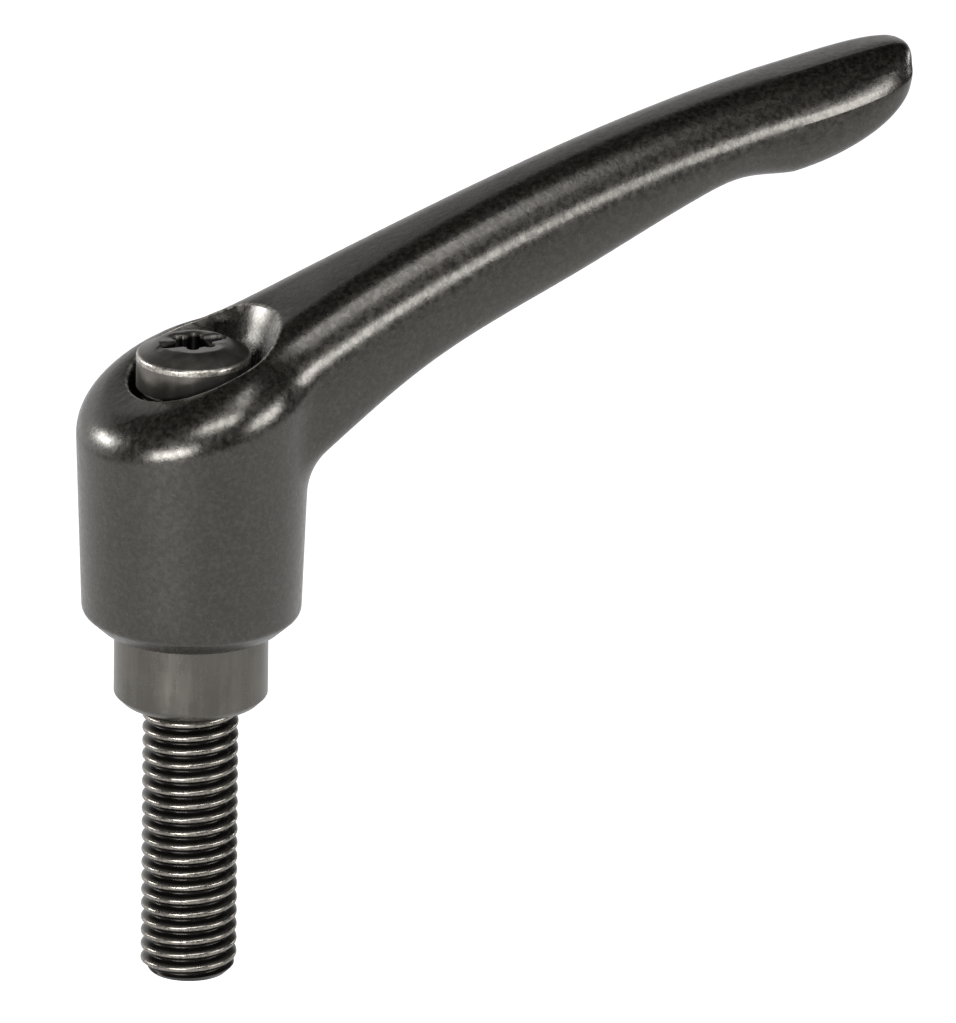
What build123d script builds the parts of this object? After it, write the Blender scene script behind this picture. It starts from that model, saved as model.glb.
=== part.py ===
"""Adjustable clamping lever with an M10 stud.

Frame: the origin is the centre of the collar's lower face, which bears on the clamped
work.  +Z runs along the stud's axis towards the lever, and the arm reaches out along +X.
The drawn state is the working one: lever down, serrations in mesh, spring extended.
"""

import os
from math import cos, pi, radians, sin, sqrt, tan

from build123d import *

# ------------------------------------------------------------------ clearances
running_gap = 0.05  # radial gap of the turning and sliding fits
tooth_gap = 0.1  # all round the serration
step_gap = 0.3  # axial gaps inside the hub
screw_thread_gap = 0.02
spring_seat_gap = 0.02

# ------------------------------------------------------------------ insert: stud and collar
thread_diameter = 10.0  # M10 coarse
stud_length = 30.0
stud_chamfer = 1.0
collar_diameter = 16.0
collar_height = 13.2
collar_show = 8.0  # part of the collar in sight below the lever
collar_chamfer = 0.8

# insert: serration and pilot above the collar
tooth_count = 24  # one tooth every 15 degrees
tooth_length = 4.0
tooth_depth = 0.8
tooth_inset = 0.4  # tips inside the collar's edge
tooth_land = 0.32  # share of the pitch, at the tip
tooth_foot = 0.80  # share of the pitch, at the root
pilot_inset = 0.3  # plain spigot inside the tooth roots
pilot_length = 4.5
pilot_chamfer = 0.4

# ------------------------------------------------------------------ retaining screw
head_diameter = 11.9
head_height = 3.5  # underside to rim
crown_height = 1.2  # rim to the flat top
crown_slope = 28.0  # degrees
head_round = 0.4
head_proud = 0.6  # rim above the hub's top surface, on the axis
shoulder_diameter = 7.0
screw_thread_diameter = 5.0
screw_thread_length = 9.0
screw_chamfer = 0.6
tapped_depth = 11.0
slot_width = 1.4
slot_length = 7.6
slot_depth = 1.1
star_radius = 1.45  # core of the six lobed recess
lobe_radius = 0.5
star_depth = 2.2

# ------------------------------------------------------------------ lift spring
spring_length = 9.4
spring_turns = 3.5
wire_diameter = 1.1

# ------------------------------------------------------------------ handle: hub
hub_wall = 3.35  # round the collar, at the top of the edge chamfer
hub_draft = 2.0  # degrees, wider upwards
hub_edge_width = 2.1  # chamfer round the bottom edge
hub_edge_height = 1.9
hub_edge_round = 1.2
bore_chamfer = 0.3
web_thickness = 3.0  # between insert and spring
pocket_gap = 0.55  # round the screw's head
pocket_wall = 4.8  # least wall round the pocket
pocket_neck_drop = 0.8  # start of the flare, below the head's seat
pocket_flare = 18.0  # degrees
pocket_rim_round = 0.25

# ------------------------------------------------------------------ handle: arm
arm_reach = 83.4  # stud's axis to the tip
arm_rise = 22.6  # top line, from the stud's axis to the tip
slope_at_hub = 23.9  # degrees, top line
slope_at_tip = 2.5
root_inset = 0.7  # arm's half width inside the hub's radius
root_taper = 13.0  # degrees each side
grip_half_width = 6.2
root_depth = 15.5  # under the top line, at the hub
root_slope = 30.0  # degrees, underside
underside = (  # distance back from the tip, depth under the top line
    (58.4, 13.1),
    (40.9, 11.85),
    (26.4, 9.4),
    (21.4, 8.95),  # waist
    (14.4, 10.2),  # finger grip
    (8.4, 9.4),
)
tip_depth = 9.0
tip_slope = 8.0  # degrees, underside
end_lean = 41.0  # degrees, the end face leans back under the arm
end_bow = 9.0  # radius of the end face, seen along its lean
end_round = 2.2
top_round = 5.0
bottom_round = 3.2
root_round = 8.0  # fillet between arm and hub

# ------------------------------------------------------------------ derived sizes
collar_radius = collar_diameter / 2
collar_bore_radius = collar_radius + running_gap
tooth_root_radius = collar_radius - tooth_inset - tooth_depth
pilot_radius = tooth_root_radius - pilot_inset
head_radius = head_diameter / 2
shoulder_radius = shoulder_diameter / 2
pocket_radius = head_radius + pocket_gap
spring_radius = (shoulder_radius + pocket_radius) / 2
hub_radius = max(collar_bore_radius + hub_wall, pocket_radius + pocket_wall)
hub_flare = tan(radians(hub_draft))

# heights above the collar's lower face
hub_bottom = collar_show
tooth_base = collar_height + step_gap
tooth_top = tooth_base + tooth_length
insert_top = tooth_top + pilot_length
web_top = insert_top + web_thickness
head_seat = web_top + spring_length
pocket_neck = head_seat - pocket_neck_drop
head_rim = head_seat + head_height
hub_top = head_rim - head_proud
tip_top = hub_top + arm_rise
ceiling = tip_top + 5  # raw height of hub and arm before the top is trimmed
half_corner = radians(90 - end_lean - slope_at_tip) / 2  # between top line and end face
end_corner = arm_reach + end_round * (cos(half_corner + radians(slope_at_tip)) / sin(half_corner) - 1)
end_height = tip_top + (end_corner - arm_reach) * tan(radians(slope_at_tip))
raw_reach = end_corner + 1  # before the end is cut


def crest_points():
    """Control points of the top line: a cubic from the hub's slope to the tip's."""
    third = arm_reach / 3
    return (
        (0, hub_top),
        (third, hub_top + third * tan(radians(slope_at_hub))),
        (arm_reach - third, tip_top - third * tan(radians(slope_at_tip))),
        (arm_reach, tip_top),
    )


def crest_height(x):
    """Height of the top line at x, the Bernstein form of the same cubic."""
    share = x / arm_reach
    weights = (
        (1 - share) ** 3,
        3 * share * (1 - share) ** 2,
        3 * share**2 * (1 - share),
        share**3,
    )
    return sum(weight * point[1] for weight, point in zip(weights, crest_points()))


def serration_points(gap):
    """Corners of a ring of straight flanked teeth, four to a tooth, grown by the gap."""
    pitch = 2 * pi / tooth_count
    spread = gap / (tooth_root_radius * pitch)
    root = tooth_root_radius + gap
    tip = root + tooth_depth
    corners = (
        (root, -tooth_foot / 2 - spread),
        (tip, -tooth_land / 2 - spread),
        (tip, tooth_land / 2 + spread),
        (root, tooth_foot / 2 + spread),
    )
    return [
        (radius * cos((tooth + turn) * pitch), radius * sin((tooth + turn) * pitch))
        for tooth in range(tooth_count)
        for radius, turn in corners
    ]


# ------------------------------------------------------------------ handle, one die casting
with BuildPart() as handle:
    # arm: plan outline as a tall block
    with BuildSketch():
        with BuildLine():
            root_width = hub_radius - root_inset
            side = Bezier(
                (0, root_width),
                (arm_reach / 3, root_width - arm_reach / 3 * tan(radians(root_taper))),
                (arm_reach * 2 / 3, grip_half_width),
                (arm_reach, grip_half_width),
            )
            Polyline(side @ 1, (raw_reach, grip_half_width), (raw_reach, 0))
            mirror()
            Line((0, root_width), (0, -root_width))
        make_face()
    extrude(amount=ceiling)

    # arm: underside, sagging to a finger grip before the tip
    with BuildSketch(Plane.XZ.offset(hub_radius)):
        with BuildLine():
            root_height = crest_height(hub_radius) - root_depth
            tip_bottom = tip_top - tip_depth
            past_tip = raw_reach + 1 - arm_reach
            lower = Spline(
                (hub_radius, root_height),
                *[
                    (arm_reach - back, crest_height(arm_reach - back) - depth)
                    for back, depth in underside
                ],
                (arm_reach, tip_bottom),
                tangents=((1, tan(radians(root_slope))), (1, tan(radians(tip_slope)))),
            )
            Polyline(
                lower @ 1,
                (arm_reach + past_tip, tip_bottom + past_tip * tan(radians(tip_slope))),
                (arm_reach + past_tip, 0),
                (0, 0),
                (0, root_height - hub_radius * tan(radians(root_slope))),
                lower @ 0,
            )
        make_face()
    extrude(amount=-2 * hub_radius, mode=Mode.SUBTRACT)
    lower_edges = handle.faces().filter_by(lambda face: face.normal_at().Z < -0.1).edges()
    long_edges = lower_edges.filter_by(lambda edge: abs(edge.center().Y) > grip_half_width / 2)
    fillet(long_edges.filter_by(lambda edge: edge.center().X > hub_radius), bottom_round)

    # hub: drafted cylinder with a chamfered foot, blended into the arm
    with BuildSketch(Plane.XZ.rotated((0, 0, 180))):
        with BuildLine():
            Polyline(
                (0, hub_bottom),
                (hub_radius - hub_edge_width, hub_bottom),
                (hub_radius, hub_bottom + hub_edge_height),
                (hub_radius + (ceiling - hub_bottom) * hub_flare, ceiling),
                (0, ceiling),
                close=True,
            )
        make_face()
        foot = vertices().filter_by(lambda v: 0 < v.Y < hub_bottom + 1.5 * hub_edge_height and abs(v.X) > 1)
        fillet(foot, hub_edge_round)
    revolve(axis=Axis.Z)
    fillet(handle.edges(Select.NEW).filter_by(GeomType.BSPLINE), root_round)

    # top surface, trimmed to the crest line and rounded down both sides and behind
    with BuildSketch(Plane.XZ.offset(2 * hub_radius)):
        with BuildLine():
            crest = Bezier(*crest_points())
            back = 2 * hub_radius
            Polyline(
                crest @ 1,
                (arm_reach + past_tip, tip_top + past_tip * tan(radians(slope_at_tip))),
                (arm_reach + past_tip, ceiling + 1),
                (-back, ceiling + 1),
                (-back, hub_top - back * tan(radians(slope_at_hub))),
                crest @ 0,
            )
        make_face()
    extrude(amount=-4 * hub_radius, mode=Mode.SUBTRACT)
    crown = handle.faces().filter_by(lambda face: face.normal_at().Z > 0.5)
    rim = [
        edge
        for edge in crown.edges()
        if sum(edge in face.edges() for face in crown) == 1 and edge.center().X < arm_reach
    ]
    fillet(rim, top_round)

    # end face: bowed, leaning back under the arm, and rounded all round
    lean = (sin(radians(end_lean)), 0, cos(radians(end_lean)))
    across = (cos(radians(end_lean)), 0, -sin(radians(end_lean)))
    end_plane = Plane((end_corner, 0, end_height), x_dir=across, z_dir=lean)
    with BuildSketch(end_plane.offset(-2 * arm_reach)):
        with BuildLine():
            bow_half = end_bow - 1
            bow_edge = sqrt(end_bow**2 - bow_half**2) - end_bow
            RadiusArc((bow_edge, -bow_half), (bow_edge, bow_half), -end_bow)
            Polyline(
                (bow_edge, bow_half),
                (-2 * end_bow, 2 * hub_radius),
                (-2 * arm_reach, 2 * hub_radius),
                (-2 * arm_reach, -2 * hub_radius),
                (-2 * end_bow, -2 * hub_radius),
                (bow_edge, -bow_half),
            )
        make_face()
    extrude(amount=3 * arm_reach, mode=Mode.INTERSECT)
    fillet(handle.edges(Select.NEW).filter_by(lambda edge: edge.center().X > 0), end_round)

    # screw pocket: straight, then flared where it breaks the top surface
    with BuildSketch(Plane.XZ.rotated((0, 0, 180))):
        with BuildLine():
            mouth = ceiling - pocket_neck
            Polyline(
                (0, web_top),
                (pocket_radius, web_top),
                (pocket_radius, pocket_neck),
                (pocket_radius + mouth * tan(radians(pocket_flare)), ceiling),
                (0, ceiling),
                close=True,
            )
        make_face()
    revolve(axis=Axis.Z, mode=Mode.SUBTRACT)
    mouth_edges = handle.edges(Select.NEW).filter_by(lambda edge: edge.center().Z > pocket_neck + 0.5)
    fillet(mouth_edges, pocket_rim_round)

    # bore for the collar and the pilot, and the hole in the web for the screw's shoulder
    with BuildSketch(Plane.XZ.rotated((0, 0, 180))):
        with BuildLine():
            pilot_bore = pilot_radius + running_gap
            shoulder_hole = shoulder_radius + running_gap
            Polyline(
                (0, hub_bottom),
                (collar_bore_radius + bore_chamfer, hub_bottom),
                (collar_bore_radius, hub_bottom + bore_chamfer),
                (collar_bore_radius, tooth_base),
                (pilot_bore, tooth_base),
                (pilot_bore, insert_top),
                (shoulder_hole, insert_top),
                (shoulder_hole, web_top),
                (0, web_top),
                close=True,
            )
        make_face()
    revolve(axis=Axis.Z, mode=Mode.SUBTRACT)
    with BuildSketch(Plane.XY.offset(tooth_base)):
        with BuildLine():
            Polyline(*serration_points(tooth_gap), close=True)
        make_face()
    extrude(amount=tooth_length + step_gap, mode=Mode.SUBTRACT)

# ------------------------------------------------------------------ insert, turned steel
with BuildPart() as threaded_insert:
    with BuildSketch(Plane.XZ):
        with BuildLine():
            thread_radius = thread_diameter / 2
            Polyline(
                (0, -stud_length),
                (thread_radius - stud_chamfer, -stud_length),
                (thread_radius, stud_chamfer - stud_length),
                (thread_radius, 0),
                (collar_radius - collar_chamfer, 0),
                (collar_radius, collar_chamfer),
                (collar_radius, collar_height),
                (tooth_root_radius, collar_height),
                (tooth_root_radius, tooth_top),
                (pilot_radius, tooth_top),
                (pilot_radius, insert_top - pilot_chamfer),
                (pilot_radius - pilot_chamfer, insert_top),
                (0, insert_top),
                close=True,
            )
        make_face()
    revolve(axis=Axis.Z)
    with BuildSketch(Plane.XY.offset(tooth_base)):
        with BuildLine():
            Polyline(*serration_points(0), close=True)
        make_face()
    extrude(amount=tooth_length)
    with Locations((0, 0, insert_top)):
        Hole(screw_thread_diameter / 2 + screw_thread_gap, depth=tapped_depth)

# ------------------------------------------------------------------ retaining screw
with BuildPart() as retaining_screw:
    with BuildSketch(Plane.XZ):
        with BuildLine():
            crown_radius = head_radius - crown_height / tan(radians(crown_slope))
            thread_end = insert_top - screw_thread_length
            Polyline(
                (0, thread_end),
                (screw_thread_diameter / 2 - screw_chamfer, thread_end),
                (screw_thread_diameter / 2, thread_end + screw_chamfer),
                (screw_thread_diameter / 2, insert_top),
                (shoulder_radius, insert_top),
                (shoulder_radius, head_seat),
                (head_radius, head_seat),
                (head_radius, head_rim),
                (crown_radius, head_rim + crown_height),
                (0, head_rim + crown_height),
                close=True,
            )
        make_face()
        rim_corner = vertices().sort_by(Axis.X)[-2:].sort_by(Axis.Y)[-1]
        fillet(rim_corner, head_round)
    revolve(axis=Axis.Z)
    with BuildSketch(Plane.XY.offset(head_rim + crown_height)):
        SlotOverall(slot_length, slot_width)
    extrude(amount=-slot_depth, mode=Mode.SUBTRACT)
    with BuildSketch(Plane.XY.offset(head_rim + crown_height)):
        Circle(star_radius)
        with PolarLocations(star_radius, 6):
            Circle(lobe_radius)
    extrude(amount=-star_depth, mode=Mode.SUBTRACT)

# ------------------------------------------------------------------ lift spring
with BuildPart() as spring:
    with BuildLine():
        coil = Helix(
            pitch=spring_length / spring_turns,
            height=spring_length,
            radius=spring_radius,
            center=(0, 0, web_top),
        )
    with BuildSketch(Plane(origin=coil @ 0, z_dir=coil % 0)):
        Circle(wire_diameter / 2)
    sweep(is_frenet=True)
    split(bisect_by=Plane.XY.offset(web_top + spring_seat_gap), keep=Keep.TOP)
    split(bisect_by=Plane.XY.offset(head_seat - spring_seat_gap), keep=Keep.BOTTOM)

os.makedirs("parts", exist_ok=True)
for name, piece in (
    ("handle", handle),
    ("threaded_insert", threaded_insert),
    ("retaining_screw", retaining_screw),
    ("spring", spring),
):
    piece.part.label = name
    export_step(piece.part, f"parts/{name}.step")
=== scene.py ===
"""Adjustable clamping lever: coated die-cast handle on a black-oxide steel insert.

Lengths are in metres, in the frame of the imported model: the collar's lower face is at
z = 0, the stud points down, and the arm reaches out along +X.
"""

import math

import bmesh
import bpy
import numpy as np
from mathutils import Matrix, Vector

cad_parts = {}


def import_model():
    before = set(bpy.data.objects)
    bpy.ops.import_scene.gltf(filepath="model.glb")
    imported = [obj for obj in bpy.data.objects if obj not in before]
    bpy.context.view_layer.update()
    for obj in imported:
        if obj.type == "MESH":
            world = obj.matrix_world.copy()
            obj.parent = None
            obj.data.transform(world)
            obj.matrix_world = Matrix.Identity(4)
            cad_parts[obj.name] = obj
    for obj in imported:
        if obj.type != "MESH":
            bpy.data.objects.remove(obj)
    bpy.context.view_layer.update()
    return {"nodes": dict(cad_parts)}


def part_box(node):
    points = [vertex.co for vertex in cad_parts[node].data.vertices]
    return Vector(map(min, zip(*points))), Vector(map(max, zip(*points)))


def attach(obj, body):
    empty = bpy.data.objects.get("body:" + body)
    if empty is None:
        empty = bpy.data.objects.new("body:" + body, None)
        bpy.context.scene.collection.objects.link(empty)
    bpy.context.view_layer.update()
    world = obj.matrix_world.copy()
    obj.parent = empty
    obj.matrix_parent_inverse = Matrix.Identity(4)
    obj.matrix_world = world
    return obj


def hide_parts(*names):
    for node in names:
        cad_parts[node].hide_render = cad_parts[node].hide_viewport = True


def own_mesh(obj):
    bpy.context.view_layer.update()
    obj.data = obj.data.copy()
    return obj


MM = 0.001
SAME_PLACE = 0.0005 * MM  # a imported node's corners this near to each other are one
SEAM = 0.002 * MM  # the widest seam that welding closes

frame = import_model()
nodes = frame["nodes"]

# ---------------------------------------------------------------- helpers


def linear(hex_colour):
    """sRGB hex to linear RGBA: c / 12.92 below 0.04045, else ((c + 0.055) / 1.055) ** 2.4."""
    channels = [int(hex_colour[i : i + 2], 16) / 255 for i in (1, 3, 5)]
    return tuple(
        c / 12.92 if c <= 0.04045 else ((c + 0.055) / 1.055) ** 2.4 for c in channels
    ) + (1.0,)


def merged(node):
    """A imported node's loose triangles with their corners merged, as a bmesh."""
    work = bmesh.new()
    work.from_mesh(nodes[node].data)
    bmesh.ops.remove_doubles(work, verts=work.verts, dist=SAME_PLACE)
    return work


def vertex_places(mesh):
    """The mesh's vertices as an array with one point a row."""
    points = np.empty(len(mesh.vertices) * 3)
    mesh.vertices.foreach_get("co", points)
    return points.reshape(-1, 3)


def turned(radius, height, angle):
    """Points round the axis: radius * cos(angle), radius * sin(angle), height."""
    radius, height, angle = np.broadcast_arrays(radius, height, angle)
    return np.stack([radius * np.cos(angle), radius * np.sin(angle), height], -1)


def grid_faces(rows, columns, climb=0):
    """Quads of a grid of vertices whose last column meets the first one, climb rows higher."""
    row, column = np.meshgrid(np.arange(rows - 1 - climb), np.arange(columns), indexing="ij")
    here = row * columns + column
    beside = np.where(column + 1 == columns, (row + climb) * columns, here + 1)
    return np.stack([here, beside, beside + columns, here + columns], -1).reshape(-1, 4)


def new_piece(mesh, body, material):
    """The mesh as a piece at the origin, of one material, riding on a body."""
    mesh.materials.append(material)
    piece = bpy.data.objects.new(mesh.name, mesh)
    bpy.context.scene.collection.objects.link(piece)
    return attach(piece, body)


def weld(piece, distance=SEAM):
    """Merges a piece's doubled vertices and turns its faces outwards."""
    work = bmesh.new()
    work.from_mesh(piece.data)
    bmesh.ops.remove_doubles(work, verts=work.verts, dist=distance)
    bmesh.ops.recalc_face_normals(work, faces=work.faces)
    work.to_mesh(piece.data)
    work.free()


def smooth(piece, crease):
    """Shades the piece smooth, save where its faces turn by more than crease degrees."""
    piece.data.shade_smooth()
    piece.data.set_sharp_from_angle(angle=math.radians(crease))


def add(tree, kind, inputs=(), **settings):
    """Adds one shader node with its settings and links, and returns it.

    The inputs are a list in the node's own order, or a dictionary of its sockets.  Each is
    a value, another node's output, or a node, which gives the first output it has in use.
    """
    node = tree.nodes.new("ShaderNode" + kind)
    for key, value in settings.items():
        setattr(node, key, value)
    for key, value in inputs.items() if isinstance(inputs, dict) else enumerate(inputs):
        if isinstance(value, bpy.types.Node):
            value = next(output for output in value.outputs if output.enabled)
        if isinstance(value, bpy.types.NodeSocket):
            tree.links.new(value, node.inputs[key])
        else:
            node.inputs[key].default_value = value
    return node


def new_material(name):
    """An empty material, and its node tree."""
    material = bpy.data.materials.new(name)
    material.use_nodes = True
    material.node_tree.nodes.clear()
    return material, material.node_tree


# ---------------------------------------------------------------- materials
# A MapRange node takes its value from the first two numbers to the last two, and holds it
# at the ends.  In a Mix node, socket 0 is the share of the colour in 7 over that in 6.

BLOTCH = 0.5  # the blotches of a noise are about this over its scale, in metres, across

POCKET_RADIUS, POCKET_NECK = 6.5 * MM, 33.6 * MM  # the screw's pocket, up to where it flares
FLARE_HEIGHT, FLARE = 10 * MM, math.tan(math.radians(18))
HUB_FOOT = 8.0 * MM


def axis_distance(tree, place):
    """Distance from the stud's axis: the length of the place with its height left out."""
    flat = add(tree, "VectorMath", [place, (1, 1, 0)], operation="MULTIPLY")
    return add(tree, "VectorMath", [flat], operation="LENGTH")


def powder_coat():
    """Satin black polyester powder, baked on die-cast zinc.

    It gives a near-black skin with a fine orange peel.  Its melted grains, a quarter of a
    millimetre across, are paler and break the reflections of the lamps into speckle.  A pale
    grey is painted on the rim of the screw's pocket, as wear where the film is thinnest and
    as a painted highlight of that edge, and along the hub's foot edge as a painted highlight
    alone.  The rim is all that faces up near the flare's cone, whose radius = the neck's
    radius + height above the neck * tangent of the flare.
    """
    material, tree = new_material("satin_black_powder_coat_on_zinc")
    peel_size, swell_size, cloud_size, grain_size = 0.32 * MM, 2.2 * MM, 9 * MM, 0.24 * MM
    place = add(tree, "TexCoord").outputs["Object"]
    height = add(tree, "SeparateXYZ", [place]).outputs["Z"]
    facing_up = add(tree, "SeparateXYZ", [add(tree, "NewGeometry").outputs["Normal"]]).outputs["Z"]
    peel = add(
        tree,
        "TexNoise",
        {"Vector": place, "Scale": BLOTCH / peel_size, "Detail": 3.0, "Roughness": 0.62},
    )
    swell = add(tree, "TexNoise", {"Vector": place, "Scale": BLOTCH / swell_size})
    cloud = add(tree, "TexNoise", {"Vector": place, "Scale": BLOTCH / cloud_size, "Detail": 3.0})
    grain = add(tree, "TexNoise", {"Vector": place, "Scale": BLOTCH / grain_size, "Roughness": 0.7})

    thin = add(tree, "MapRange", [cloud, 0.35, 0.65, 0.0, 1.0])
    film = add(tree, "Mix", {0: thin, 6: linear("#080706"), 7: linear("#100e0c")}, data_type="RGBA")
    melted = add(tree, "MapRange", [grain, 0.42, 0.72, 0.0, 1.0])
    skin = add(tree, "Mix", {0: melted, 6: film, 7: linear("#292622")}, data_type="RGBA")

    # pale grey on the pocket's rim: wear where the film is thinnest, and a painted highlight of its
    # edge
    mouth_radius = POCKET_RADIUS + FLARE_HEIGHT * FLARE
    cone = add(
        tree,
        "MapRange",
        [height, POCKET_NECK, POCKET_NECK + FLARE_HEIGHT, POCKET_RADIUS, mouth_radius],
    )
    beside = add(tree, "Math", [axis_distance(tree, place), cone], operation="SUBTRACT")
    off_cone = add(tree, "Math", [beside], operation="ABSOLUTE")
    worn_and_highlit = add(tree, "MapRange", [off_cone, 0.12 * MM, 0.34 * MM, 1.0, 0.0])
    on_rim = add(tree, "MapRange", [facing_up, 0.35, 0.55, 0.0, 1.0])
    above_neck = add(tree, "Math", [height, POCKET_NECK], operation="GREATER_THAN")
    patches = add(tree, "MapRange", [peel, 0.35, 0.6, 0.15, 0.8])
    for share in (on_rim, above_neck, patches):
        worn_and_highlit = add(tree, "Math", [worn_and_highlit, share], operation="MULTIPLY")
    # painted highlight: pale grey along the hub's foot edge
    foot_highlight = add(tree, "MapRange", [height, HUB_FOOT + 0.04 * MM, HUB_FOOT + 0.26 * MM, 0.6, 0.0])
    worn_and_highlit = add(tree, "Math", [worn_and_highlit, foot_highlight], operation="MAXIMUM")
    colour = add(tree, "Mix", {0: worn_and_highlit, 6: skin, 7: linear("#8d8983")}, data_type="RGBA")

    coarse = add(tree, "Bump", {"Height": swell, "Strength": 0.10, "Distance": 0.06 * MM})
    fine = add(
        tree, "Bump", {"Height": peel, "Strength": 0.60, "Distance": 0.034 * MM, "Normal": coarse}
    )
    shader = add(
        tree,
        "BsdfPrincipled",
        {
            "Base Color": colour,
            "Roughness": add(tree, "MapRange", [peel, 0.3, 0.7, 0.20, 0.34]),
            "Specular Tint": linear("#fffaf2"),
            "IOR": 1.84,
            "Normal": fine,
        },
    )
    add(tree, "OutputMaterial", {"Surface": shader})
    return material


def blackened_steel(name, dark, light, rough, film, worn_and_highlit, band, bare_and_highlight, groove_shade=None, recess=None):
    """Carbon steel, turned or drawn, blackened in an oxidising bath, then oiled.

    It gives a dark metal, streaked and stained from dark to light, with fine tool marks
    round the axis, of about the rough number in roughness.  The film is the share of the
    light that the dull oxide scatters instead of mirroring.  The outermost edges, between the
    two distances from the axis and the two heights given, take a pale bare colour: wear from
    handling on the stud's thread crests and the spring, a painted highlight on the screw
    head's rim.  A groove colour below those edges is painted shade, with the oil and oxide
    held there.  Painted shade blackens a recess, which is all that lies within its radius and
    under its height.
    """
    material, tree = new_material(name)
    mark_size, streak_size, stain_size, pit_size = 0.10 * MM, 0.55 * MM, 2.4 * MM, 0.16 * MM
    edge = 0.3 * MM  # over which a groove's and a recess' painted shade fades out
    place = add(tree, "TexCoord").outputs["Object"]
    height = add(tree, "SeparateXYZ", [place]).outputs["Z"]
    out = axis_distance(tree, place)
    marks = add(
        tree,
        "TexNoise",
        {"W": height, "Scale": BLOTCH / mark_size, "Detail": 3.0},
        noise_dimensions="1D",
    )
    along = add(tree, "Mapping", {"Vector": place, "Scale": (1, 1, 0.12)})
    streak = add(
        tree,
        "TexNoise",
        {"Vector": along, "Scale": BLOTCH / streak_size, "Detail": 4.0, "Roughness": 0.6},
    )
    stain = add(
        tree,
        "TexNoise",
        {"Vector": place, "Scale": BLOTCH / stain_size, "Detail": 4.0, "Roughness": 0.6},
    )
    pits = add(tree, "TexNoise", {"Vector": place, "Scale": BLOTCH / pit_size})
    both = add(tree, "Math", [streak, stain], operation="ADD")
    mottle = add(tree, "Math", [both, 0.5], operation="MULTIPLY")
    share = add(tree, "MapRange", [mottle, 0.40, 0.62, 0.0, 1.0])
    colour = add(tree, "Mix", {0: share, 6: linear(dark), 7: linear(light)}, data_type="RGBA")

    over = add(tree, "Math", [height, band[0]], operation="GREATER_THAN")
    under = add(tree, "Math", [height, band[1]], operation="LESS_THAN")
    inside = add(tree, "Math", [over, under], operation="MULTIPLY")
    # painted shade in the grooves under the crests, with the oil and oxide held there
    if groove_shade:
        below = add(tree, "MapRange", [out, worn_and_highlit[0] - edge, worn_and_highlit[0], 1.0, 0.0])
        shaded_groove = add(tree, "Math", [below, inside], operation="MULTIPLY")
        colour = add(tree, "Mix", {0: shaded_groove, 6: colour, 7: linear(groove_shade)}, data_type="RGBA")
    # pale outermost edges: wear on the thread crests and the spring, a painted highlight on the screw
    # head's rim
    rubbed_and_highlit = add(tree, "MapRange", [out, worn_and_highlit[0], worn_and_highlit[1], 0.0, 1.0])
    for share in (inside, add(tree, "MapRange", [pits, 0.38, 0.58, 0.25, 1.0])):
        rubbed_and_highlit = add(tree, "Math", [rubbed_and_highlit, share], operation="MULTIPLY")
    colour = add(tree, "Mix", {0: rubbed_and_highlit, 6: colour, 7: linear(bare_and_highlight)}, data_type="RGBA")
    # painted shade blackening the recess
    if recess:
        within = add(tree, "Math", [out, recess[0]], operation="LESS_THAN")
        down = add(tree, "MapRange", [height, recess[1], recess[1] - edge, 0.0, 1.0])
        recess_shade = add(tree, "Math", [within, down], operation="MULTIPLY")
        colour = add(tree, "Mix", {0: recess_shade, 6: colour, 7: linear("#0d0b0a")}, data_type="RGBA")

    rings = add(tree, "Bump", {"Height": marks, "Strength": 0.25, "Distance": 0.004 * MM})
    bump = add(
        tree, "Bump", {"Height": pits, "Strength": 0.40, "Distance": 0.012 * MM, "Normal": rings}
    )
    shader = add(
        tree,
        "BsdfPrincipled",
        {
            "Base Color": colour,
            "Metallic": 1.0 - film,
            "Roughness": add(tree, "MapRange", [mottle, 0.35, 0.65, rough - 0.05, rough + 0.07]),
            "Normal": bump,
        },
    )
    add(tree, "OutputMaterial", {"Surface": shader})
    return material


coat = powder_coat()
stud_steel = blackened_steel(
    "turned_and_rolled_black_oxide_steel",
    dark="#64615c",
    light="#74716b",
    rough=0.27,
    film=0.1,
    worn_and_highlit=(4.84 * MM, 4.92 * MM),
    band=(-30 * MM, -0.1 * MM),
    bare_and_highlight="#a09b93",
    # painted shade in the thread's grooves, with their oil and oxide
    groove_shade="#2c2a28",
)
screw_steel = blackened_steel(
    "black_oxide_screw_steel",
    dark="#5f5c58",
    light="#7a7671",
    rough=0.36,
    film=0.12,
    # the pale ring on the head's rounded rim is a painted highlight
    worn_and_highlit=(5.66 * MM, 5.84 * MM),
    band=(37.3 * MM, 38.6 * MM),
    bare_and_highlight="#c4bfb6",
    # painted shade in the head's recess
    recess=(3.6 * MM, 39.0 * MM),
)
spring_wire = blackened_steel(
    "drawn_spring_wire",
    dark="#6c6a68",
    light="#85837f",
    rough=0.30,
    film=0.0,
    worn_and_highlit=(5.45 * MM, 5.55 * MM),
    band=(25 * MM, 35 * MM),
    bare_and_highlight="#96918a",
)

# ---------------------------------------------------------------- handle

TIP_FROM = 68.0 * MM  # the casting is kept as far as its finger grip; its end is made anew
TIP_AT = 83.20 * MM
TIP_UNDER_TOP = 3.26 * MM  # height of the very tip, below the top line
GRIP_SLOPE, TIP_SLOPE = 0.142, 0.139  # of the top line, at the cut and at the tip
TIP_FULLNESS = (5.8, 2.9, 1.75)  # superellipse exponents at the top, sides and underside
TIP_RINGS = 71
CUT_WITHIN, RIM_WITHIN = 0.0001 * MM, 0.001 * MM  # vertices this near to the cut are on it
CAST_CREASE = 28  # degrees
CREASE_STOP = 1 * MM  # creases end this far before the cut


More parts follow.
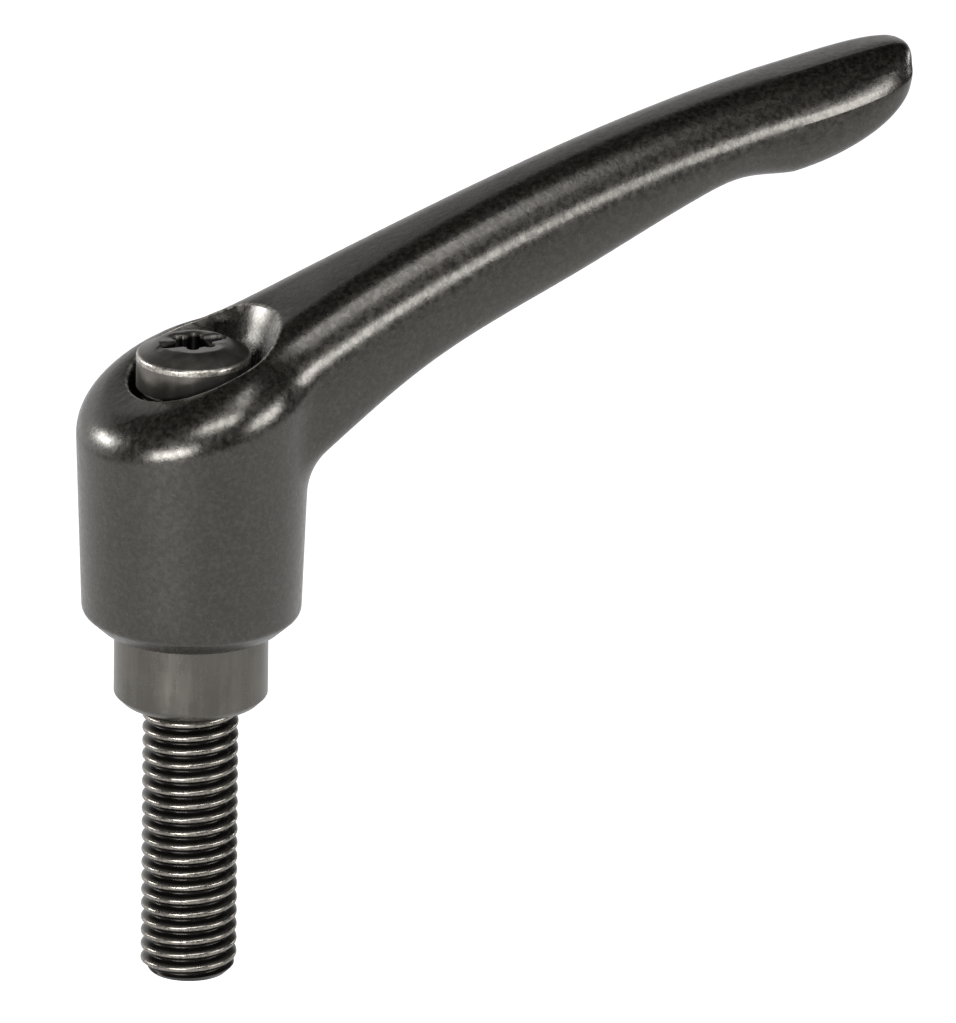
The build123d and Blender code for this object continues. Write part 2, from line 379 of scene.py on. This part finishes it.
def handle_casting():
    """The cast handle with its bullet-shaped end.

    The end carries the casting's own cross-section to the tip.  Seen from a centre a
    little under the top line, the section at the cut shrinks along each of its rays as a
    superellipse, share ** n + shrink ** n = 1, where share is how far out it is: both are
    the sine and cosine of a slope from 0 to 90 degrees, to the power 2 / n.  The exponent
    n is large at the top, which stays straight to the end, and small underneath, where
    the end sweeps up from the finger grip.  The centre climbs with the top line, whose
    slope changes evenly from the cut to the tip.
    """
    work = merged("handle")
    bmesh.ops.bisect_plane(
        work,
        geom=work.verts[:] + work.edges[:] + work.faces[:],
        plane_co=(TIP_FROM, 0, 0),
        plane_no=(1, 0, 0),
        clear_outer=True,
        dist=CUT_WITHIN,
    )
    bmesh.ops.remove_doubles(work, verts=work.verts, dist=SAME_PLACE)
    body = bpy.data.meshes.new("handle_body")
    work.to_mesh(body)
    work.free()
    points = vertex_places(body)
    triangles = [list(face.vertices) for face in body.polygons]

    rim = np.flatnonzero(points[:, 0] > TIP_FROM - RIM_WITHIN)
    centre = np.array([TIP_FROM, 0, points[rim, 2].max() - TIP_UNDER_TOP])
    turn = np.arctan2(points[rim, 2] - centre[2], points[rim, 1])
    rim = rim[np.argsort(turn)]
    section = points[rim] - centre
    lift = np.sin(np.sort(turn))
    above, sides, under = TIP_FULLNESS
    fullness = sides + np.where(lift > 0, (above - sides) * lift**2, (under - sides) * lift**2)
    slope = np.linspace(0, math.pi / 2, TIP_RINGS + 2)[1:-1, None]
    share = np.sin(slope) ** (2 / fullness)
    shrink = np.cos(slope) ** (2 / fullness)
    length = TIP_AT - TIP_FROM
    climb = length * (GRIP_SLOPE * share + (TIP_SLOPE - GRIP_SLOPE) / 2 * share**2)
    rings = np.stack(
        [
            centre[0] + length * share,
            centre[1] + section[:, 1] * shrink,
            centre[2] + section[:, 2] * shrink + climb,
        ],
        -1,
    )
    tip = np.array([[TIP_AT, 0, centre[2] + length * (GRIP_SLOPE + TIP_SLOPE) / 2]])

    new_rows = len(points) + np.arange(TIP_RINGS * rim.size).reshape(TIP_RINGS, -1)
    index = np.concatenate([rim[None], new_rows])
    after = np.roll(index, -1, axis=1)
    quads = np.stack([index[:-1], after[:-1], after[1:], index[1:]], -1).reshape(-1, 4)
    fan = np.stack([index[-1], after[-1], np.full(rim.size, len(points) + new_rows.size)], -1)
    mesh = bpy.data.meshes.new("cast_handle")
    points = np.concatenate([points, rings.reshape(-1, 3), tip])
    mesh.from_pydata(points.tolist(), [], triangles + quads.tolist() + fan.tolist())
    piece = new_piece(mesh, "lever", coat)
    weld(piece)
    smooth(piece, CAST_CREASE)

    ends = np.empty(len(mesh.edges) * 2, dtype=int)
    mesh.edges.foreach_get("vertices", ends)
    sharp = np.empty(len(mesh.edges), dtype=bool)
    mesh.edges.foreach_get("use_edge_sharp", sharp)
    reach = vertex_places(mesh)[:, 0][ends].reshape(-1, 2)
    on_end = (reach > TIP_FROM - CREASE_STOP).any(axis=1)
    mesh.edges.foreach_set("use_edge_sharp", sharp & ~on_end)
    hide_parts("handle")


# ---------------------------------------------------------------- retaining screw

STAR_REACH, STAR_GROWTH = 2.05 * MM, 1.32
SCREW_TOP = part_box("retaining_screw")[1].z
RECESS_DEPTH = 3 * MM
SCREW_CREASE = 25  # degrees


def retaining_screw():
    """The screw with the worn-out mouth of its six-lobed recess.

    The recess' points, those within its reach of the axis and near the head's top,
    are scaled out from the axis.
    """
    mesh = bpy.data.meshes.new("recessed_screw")
    work = merged("retaining_screw")
    work.to_mesh(mesh)
    work.free()
    points = vertex_places(mesh)
    near_axis = np.hypot(points[:, 0], points[:, 1]) < STAR_REACH
    recess = near_axis & (points[:, 2] > SCREW_TOP - RECESS_DEPTH)
    points[recess, :2] *= STAR_GROWTH
    mesh.vertices.foreach_set("co", points.ravel())
    piece = new_piece(mesh, "insert_assembly", screw_steel)
    smooth(piece, SCREW_CREASE)
    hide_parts("retaining_screw")


# ---------------------------------------------------------------- threaded insert

THREAD_PITCH = 1.5 * MM
THREAD_RADIUS = 5.0 * MM
STUD_END = -30.0 * MM
CHAMFER = 1.0 * MM
THREAD_PROFILE = (  # height from the crest's middle and depth below it, one side, in mm
    (0.0, 0.0),
    (0.11, 0.012),
    (0.19, 0.045),
    (0.25, 0.11),
    (0.39, 0.40),
    (0.555, 0.74),
    (0.60, 0.80),
    (0.66, 0.84),
    (0.75, 0.85),
)
THREAD_START, THREAD_TURNS = 1.6, 23  # pitches below the stud's end, and pitches from there
RUN_OUT, RUN_OUT_DEPTH = 1.1, 0.12  # in pitches below the collar, and in shares of the depth
END_RING = 3.9 * MM  # radius of a ring on the stud's end face, inside its chamfer
COLLAR_PROFILE = (  # radius and height, in mm, from the stud to the serration's foot
    (5.0, 0.0),
    (5.35, 0.0),
    (7.1, 0.0),
    (7.2, 0.0),
    (7.26, 0.03),
    (7.94, 0.71),
    (8.0, 0.82),
    (8.0, 1.0),
    (8.0, 13.0),
    (8.0, 13.2),
    (7.9, 13.2),
    (6.9, 13.2),
    (6.8, 13.2),
    (6.8, 13.5),
)
TEETH = 24
TOOTH_CORNERS = (-0.40, -0.16, 0.0, 0.16, 0.40)  # angle in shares of a tooth's pitch
TOOTH_SHOULDER = 0.3  # corners nearer to the middle than this are on the tooth's tip
TOOTH_ROOT, TOOTH_TIP = 6.8 * MM, 7.6 * MM
TOOTH_LOW, TOOTH_HIGH = 13.5 * MM, 17.5 * MM
PILOT_PROFILE = (  # radius and height, in mm, from the serration's top to the tapped hole's floor
    (6.8, 17.5),
    (6.5, 17.5),
    (6.5, 17.6),
    (6.5, 21.5),
    (6.5, 21.6),
    (6.1, 22.0),
    (6.0, 22.0),
    (2.65, 22.0),
    (2.52, 22.0),
    (2.52, 21.9),
    (2.52, 11.1),
    (2.52, 11.0),
    (2.4, 11.0),
    (0.0, 11.0),
)
INSERT_CREASE = 40  # degrees


def threaded_insert():
    """The stud, its collar and the serrated ring as one closed skin.

    Stud: radius = the thread's radius less its depth at the point's place in the pitch,
    on rows that climb one pitch a turn, so height = row + pitch * turn; held between the
    end and the collar, never wider than the end's 45 degree chamfer, and running out
    under the collar, where the depth shrinks evenly with the height left.
    Above: the profiles' radius and height turned round the axis, with four rows between
    them for the serration, whose radius steps between root and tip at the teeth's corners.
    """
    tooth = np.arange(TEETH)[:, None] + np.array(TOOTH_CORNERS)
    turn = tooth.ravel() / TEETH
    angle = 2 * math.pi * turn
    columns = turn.size

    half = np.array(THREAD_PROFILE) * MM
    mirrored = half[-2:0:-1] * (-1, 1) + (THREAD_PITCH, 0)
    thread = np.concatenate([half, mirrored])
    level = (thread[None, :, 0] + THREAD_PITCH * np.arange(THREAD_TURNS)[:, None]).ravel()
    level += STUD_END - THREAD_START * THREAD_PITCH
    depth = np.tile(thread[:, 1], THREAD_TURNS)
    height = level[:, None] + THREAD_PITCH * turn
    depth_share = np.clip(-height / (RUN_OUT * THREAD_PITCH), RUN_OUT_DEPTH, 1.0)
    radius = THREAD_RADIUS - depth[:, None] * depth_share
    radius = np.minimum(radius, THREAD_RADIUS - CHAMFER + np.maximum(height - STUD_END, 0))
    radius = np.where(height >= 0, THREAD_RADIUS, radius)
    stud = turned(radius, np.clip(height, STUD_END, 0), angle)

    collar, pilot = np.array(COLLAR_PROFILE) * MM, np.array(PILOT_PROFILE) * MM
    root = np.full(columns, TOOTH_ROOT)
    on_tip = np.abs(np.tile(TOOTH_CORNERS, TEETH)) < TOOTH_SHOULDER
    tip = np.where(on_tip, TOOTH_TIP, TOOTH_ROOT)
    radii = np.concatenate(
        [np.tile(collar[:, :1], columns), [root, tip, tip, root], np.tile(pilot[:, :1], columns)]
    )
    serration = [TOOTH_LOW, TOOTH_LOW, TOOTH_HIGH, TOOTH_HIGH]
    body = turned(radii, np.concatenate([collar[:, 1], serration, pilot[:, 1]])[:, None], angle)
    cap = turned(np.array([THREAD_RADIUS - CHAMFER, END_RING, 0.0])[:, None], STUD_END, angle)

    body_start = level.size * columns
    cap_start = body_start + len(body) * columns
    points = np.concatenate([part.reshape(-1, 3) for part in (stud, body, cap)])
    faces = np.concatenate(
        [
            grid_faces(level.size, columns, climb=len(thread)),
            grid_faces(len(body), columns) + body_start,
            grid_faces(len(cap), columns)[:, ::-1] + cap_start,
        ]
    )
    mesh = bpy.data.meshes.new("threaded_insert_detailed")
    mesh.from_pydata(points.tolist(), [], faces.tolist())
    mesh.validate()
    piece = new_piece(mesh, "insert_assembly", stud_steel)
    weld(piece)
    smooth(piece, INSERT_CREASE)
    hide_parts("threaded_insert")


# ---------------------------------------------------------------- lift spring

SPRING_RADIUS = 5.0 * MM
WIRE = 1.1 * MM
SPRING_LOW, SPRING_HIGH = 25.02 * MM, 34.38 * MM
SPRING_TURNS, SPRING_STEPS, WIRE_SIDES = 4.6, 460, 20
CLOSED_TURNS, OPENING_TURNS = 0.6, 0.3  # at each end: nearly flat, then opening out
CLOSED_RISE, OPEN_RISE = 0.22, 3.0  # of a step: everywhere, and added between the ends
GROUND_AWAY = 0.28  # the wire's middle is this share of its thickness from the ground face
SPRING_CREASE = 50  # degrees


def lift_spring():
    """A compression spring with closed, ground ends.

    Its wire is a circle carried along a helix of constant radius.  Each step's rise is
    small over the closed turns at both ends and eases to its full size between them, and
    the height is the sum of the rises, scaled to the spring's length.  Each end is ground
    flat by holding the wire's height within that length.
    """
    turn = np.linspace(0, SPRING_TURNS, SPRING_STEPS)
    opened = np.clip((turn - CLOSED_TURNS) / OPENING_TURNS, 0, 1)
    closing = np.clip((SPRING_TURNS - CLOSED_TURNS - turn) / OPENING_TURNS, 0, 1)
    rise = CLOSED_RISE + opened * closing * OPEN_RISE
    climb = np.concatenate([[0], np.cumsum(rise[1:])])
    low, high = SPRING_LOW + GROUND_AWAY * WIRE, SPRING_HIGH - GROUND_AWAY * WIRE
    angle = 2 * math.pi * turn
    centre = turned(SPRING_RADIUS, low + (high - low) * climb / climb[-1], angle)
    out = turned(1.0, 0.0, angle)
    around = 2 * math.pi * np.arange(WIRE_SIDES)[None, :, None] / WIRE_SIDES
    wire = centre[:, None] + WIRE / 2 * (
        np.cos(around) * out[:, None] + np.sin(around) * np.array([0, 0, 1.0])
    )
    wire[..., 2] = np.clip(wire[..., 2], SPRING_LOW, SPRING_HIGH)
    ends = np.repeat(centre[[0, -1]][:, None], WIRE_SIDES, axis=1)
    points = np.concatenate([ends[:1], wire, ends[1:]])
    mesh = bpy.data.meshes.new("lift_spring")
    mesh.from_pydata(points.reshape(-1, 3).tolist(), [], grid_faces(len(points), WIRE_SIDES).tolist())
    mesh.validate()
    piece = new_piece(mesh, "insert_assembly", spring_wire)
    weld(piece, SAME_PLACE)
    smooth(piece, SPRING_CREASE)
    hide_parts("spring")
    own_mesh(piece)


handle_casting()
retaining_screw()
threaded_insert()
lift_spring()

# ---------------------------------------------------------------- camera

AZIMUTH, ELEVATION, ROLL = 28.0, 20.0, -0.7  # degrees
VIEW_HEIGHT = 106.0 * MM  # what the frame's height shows at the origin
DISTANCE = 3.0
CENTRE_RIGHT, CENTRE_UP = 29.77 * MM, 19.22 * MM  # the frame's middle, from the origin
SENSOR = 36.0
CLIP = (0.01, 20.0)


def camera_axes():
    """Right, up and forward unit vectors of the view, rolled about forward."""
    a, e, r = (math.radians(v) for v in (AZIMUTH, ELEVATION, ROLL))
    right = Vector((math.cos(a), -math.sin(a), 0))
    forward = Vector((math.sin(a) * math.cos(e), math.cos(a) * math.cos(e), -math.sin(e)))
    up = right.cross(forward)
    return (
        right * math.cos(r) - up * math.sin(r),
        up * math.cos(r) + right * math.sin(r),
        forward,
    )


def add_camera():
    """The camera, far off with a long lens, looking down a little from the front left."""
    right, up, forward = camera_axes()
    data = bpy.data.cameras.new("camera")
    data.sensor_width = SENSOR
    data.lens = data.sensor_width * DISTANCE / VIEW_HEIGHT
    data.clip_start, data.clip_end = CLIP
    camera = bpy.data.objects.new("camera", data)
    camera.location = right * CENTRE_RIGHT + up * CENTRE_UP - forward * DISTANCE
    camera.rotation_euler = Matrix((right, up, -forward)).transposed().to_euler()
    bpy.context.scene.collection.objects.link(camera)
    bpy.context.scene.camera = camera


# ---------------------------------------------------------------- studio

FRONT_TOP, BACK_TOP = -0.40, 0.36  # sine of the elevation where the surroundings start to fade
BACK_FROM, BACK_TO = 0.2, 0.8  # share of +Y in the direction over which the one becomes the other
SWEEP_FADE = 0.35  # in the same sine
SWEEP_LEVEL, CEILING_LEVEL = 0.8, 0.004
PAPER_HALF, PAPER_HEIGHT = 1.5, -0.15  # half the floor's side, and its height
SHADOW_FROM, SHADOW_TO, SHADOW_GLOW = 0.15, 0.9, 0.72  # the glow grows to 1 over these distances
GLOSS_FROM, GLOSS_TO, GLOSS_FAR = 0.58, 0.80, 0.03  # what glossy rays see of it, fading so far away
BEHIND_FROM, BEHIND_TO = 0.50, 0.70  # and growing to 1 again along +Y


def softbox(name, azimuth, elevation, width, height, power, distance=0.6, aim=(0.03, 0, 0.03)):
    """A rectangular lamp seen from the object at an azimuth (0 = +X, 90 = +Y) and elevation."""
    a, e = math.radians(azimuth), math.radians(elevation)
    direction = Vector((math.cos(a) * math.cos(e), math.sin(a) * math.cos(e), math.sin(e)))
    data = bpy.data.lights.new(name, "AREA")
    data.shape = "RECTANGLE"
    data.size, data.size_y = width, height
    data.energy = power
    lamp = bpy.data.objects.new(name, data)
    lamp.location = Vector(aim) + direction * distance
    lamp.rotation_euler = direction.to_track_quat("Z", "Y").to_euler()
    bpy.context.scene.collection.objects.link(lamp)


def world():
    """White paper all round, fading to a dark ceiling above it.

    The fade starts higher up at the back, where +Y is, than in front.  Rays straight from
    the camera see white everywhere.
    """
    scene_world = bpy.data.worlds.new("studio")
    bpy.context.scene.world = scene_world
    scene_world.use_nodes = True
    tree = scene_world.node_tree
    tree.nodes.clear()
    from_camera = add(tree, "LightPath").outputs["Is Camera Ray"]
    direction = add(tree, "SeparateXYZ", [add(tree, "TexCoord").outputs["Generated"]])
    top = add(tree, "MapRange", [direction.outputs["Y"], BACK_FROM, BACK_TO, FRONT_TOP, BACK_TOP])
    above = add(tree, "Math", [direction.outputs["Z"], top], operation="SUBTRACT")
    fade = add(tree, "MapRange", [above, 0.0, SWEEP_FADE, SWEEP_LEVEL, CEILING_LEVEL])
    level = add(tree, "Math", [fade, from_camera], operation="MAXIMUM")
    light = add(tree, "Background", {"Color": linear("#ffffff"), "Strength": level})
    add(tree, "OutputWorld", {"Surface": light})


def floor():
    """Seamless white paper well below the stud, which keeps the object's soft shadow.

    Camera rays see it white by its glow.  Near the object part of that white is left to
    the lamps' own light, so a shadow shows there.  Glossy rays see the glow alone, near
    the object and far behind it, and hardly any between.
    """
    material, tree = new_material("white_seamless_paper")
    rays = add(tree, "LightPath").outputs
    place = add(tree, "TexCoord").outputs["Object"]
    away = add(tree, "VectorMath", [place], operation="LENGTH")
    behind = add(tree, "SeparateXYZ", [place]).outputs["Y"]
    glow_level = add(tree, "MapRange", [away, SHADOW_FROM, SHADOW_TO, SHADOW_GLOW, 1.0])
    near = add(tree, "MapRange", [away, GLOSS_FROM, GLOSS_TO, 1.0, GLOSS_FAR])
    far = add(tree, "MapRange", [behind, BEHIND_FROM, BEHIND_TO, 0.0, 1.0])
    in_gloss = add(tree, "Math", [near, far], operation="MAXIMUM")
    gloss = add(tree, "Math", [in_gloss, rays["Is Glossy Ray"]], operation="MULTIPLY")
    seen = add(tree, "Math", [rays["Is Camera Ray"], gloss], operation="MAXIMUM")
    level = add(tree, "Math", [glow_level, seen], operation="MULTIPLY")
    paper = add(tree, "BsdfDiffuse", {"Color": linear("#f2f2f2")})
    glow = add(tree, "Emission", {"Color": linear("#ffffff"), "Strength": level})
    both = add(tree, "AddShader", [paper, glow])
    sheet = add(tree, "MixShader", [rays["Is Glossy Ray"], both, glow])
    add(tree, "OutputMaterial", {"Surface": sheet})
    mesh = bpy.data.meshes.new("floor")
    sides = ((-1, -1), (1, -1), (1, 1), (-1, 1))
    corners = [(x * PAPER_HALF, y * PAPER_HALF, PAPER_HEIGHT) for x, y in sides]
    mesh.from_pydata(corners, [], [(0, 1, 2, 3)])
    mesh.materials.append(material)
    plane = bpy.data.objects.new("floor", mesh)
    bpy.context.scene.collection.objects.link(plane)


add_camera()
world()
floor()
softbox("overhead", -80, 67, 0.06, 0.17, 0.16, distance=0.35, aim=(0.01, 0, 0.04))
softbox("front_right", -53, 11, 0.36, 0.17, 1.8)
softbox("front_left", -144, 2, 0.36, 0.11, 2.8)
softbox("back_left", 142, 12, 0.22, 0.13, 1.4)
softbox("upper_left", -112, 41, 0.36, 0.17, 1.6)
softbox("tip_side", 8, 6, 0.10, 0.12, 0.35)

bpy.context.scene.view_settings.view_transform = "Standard"
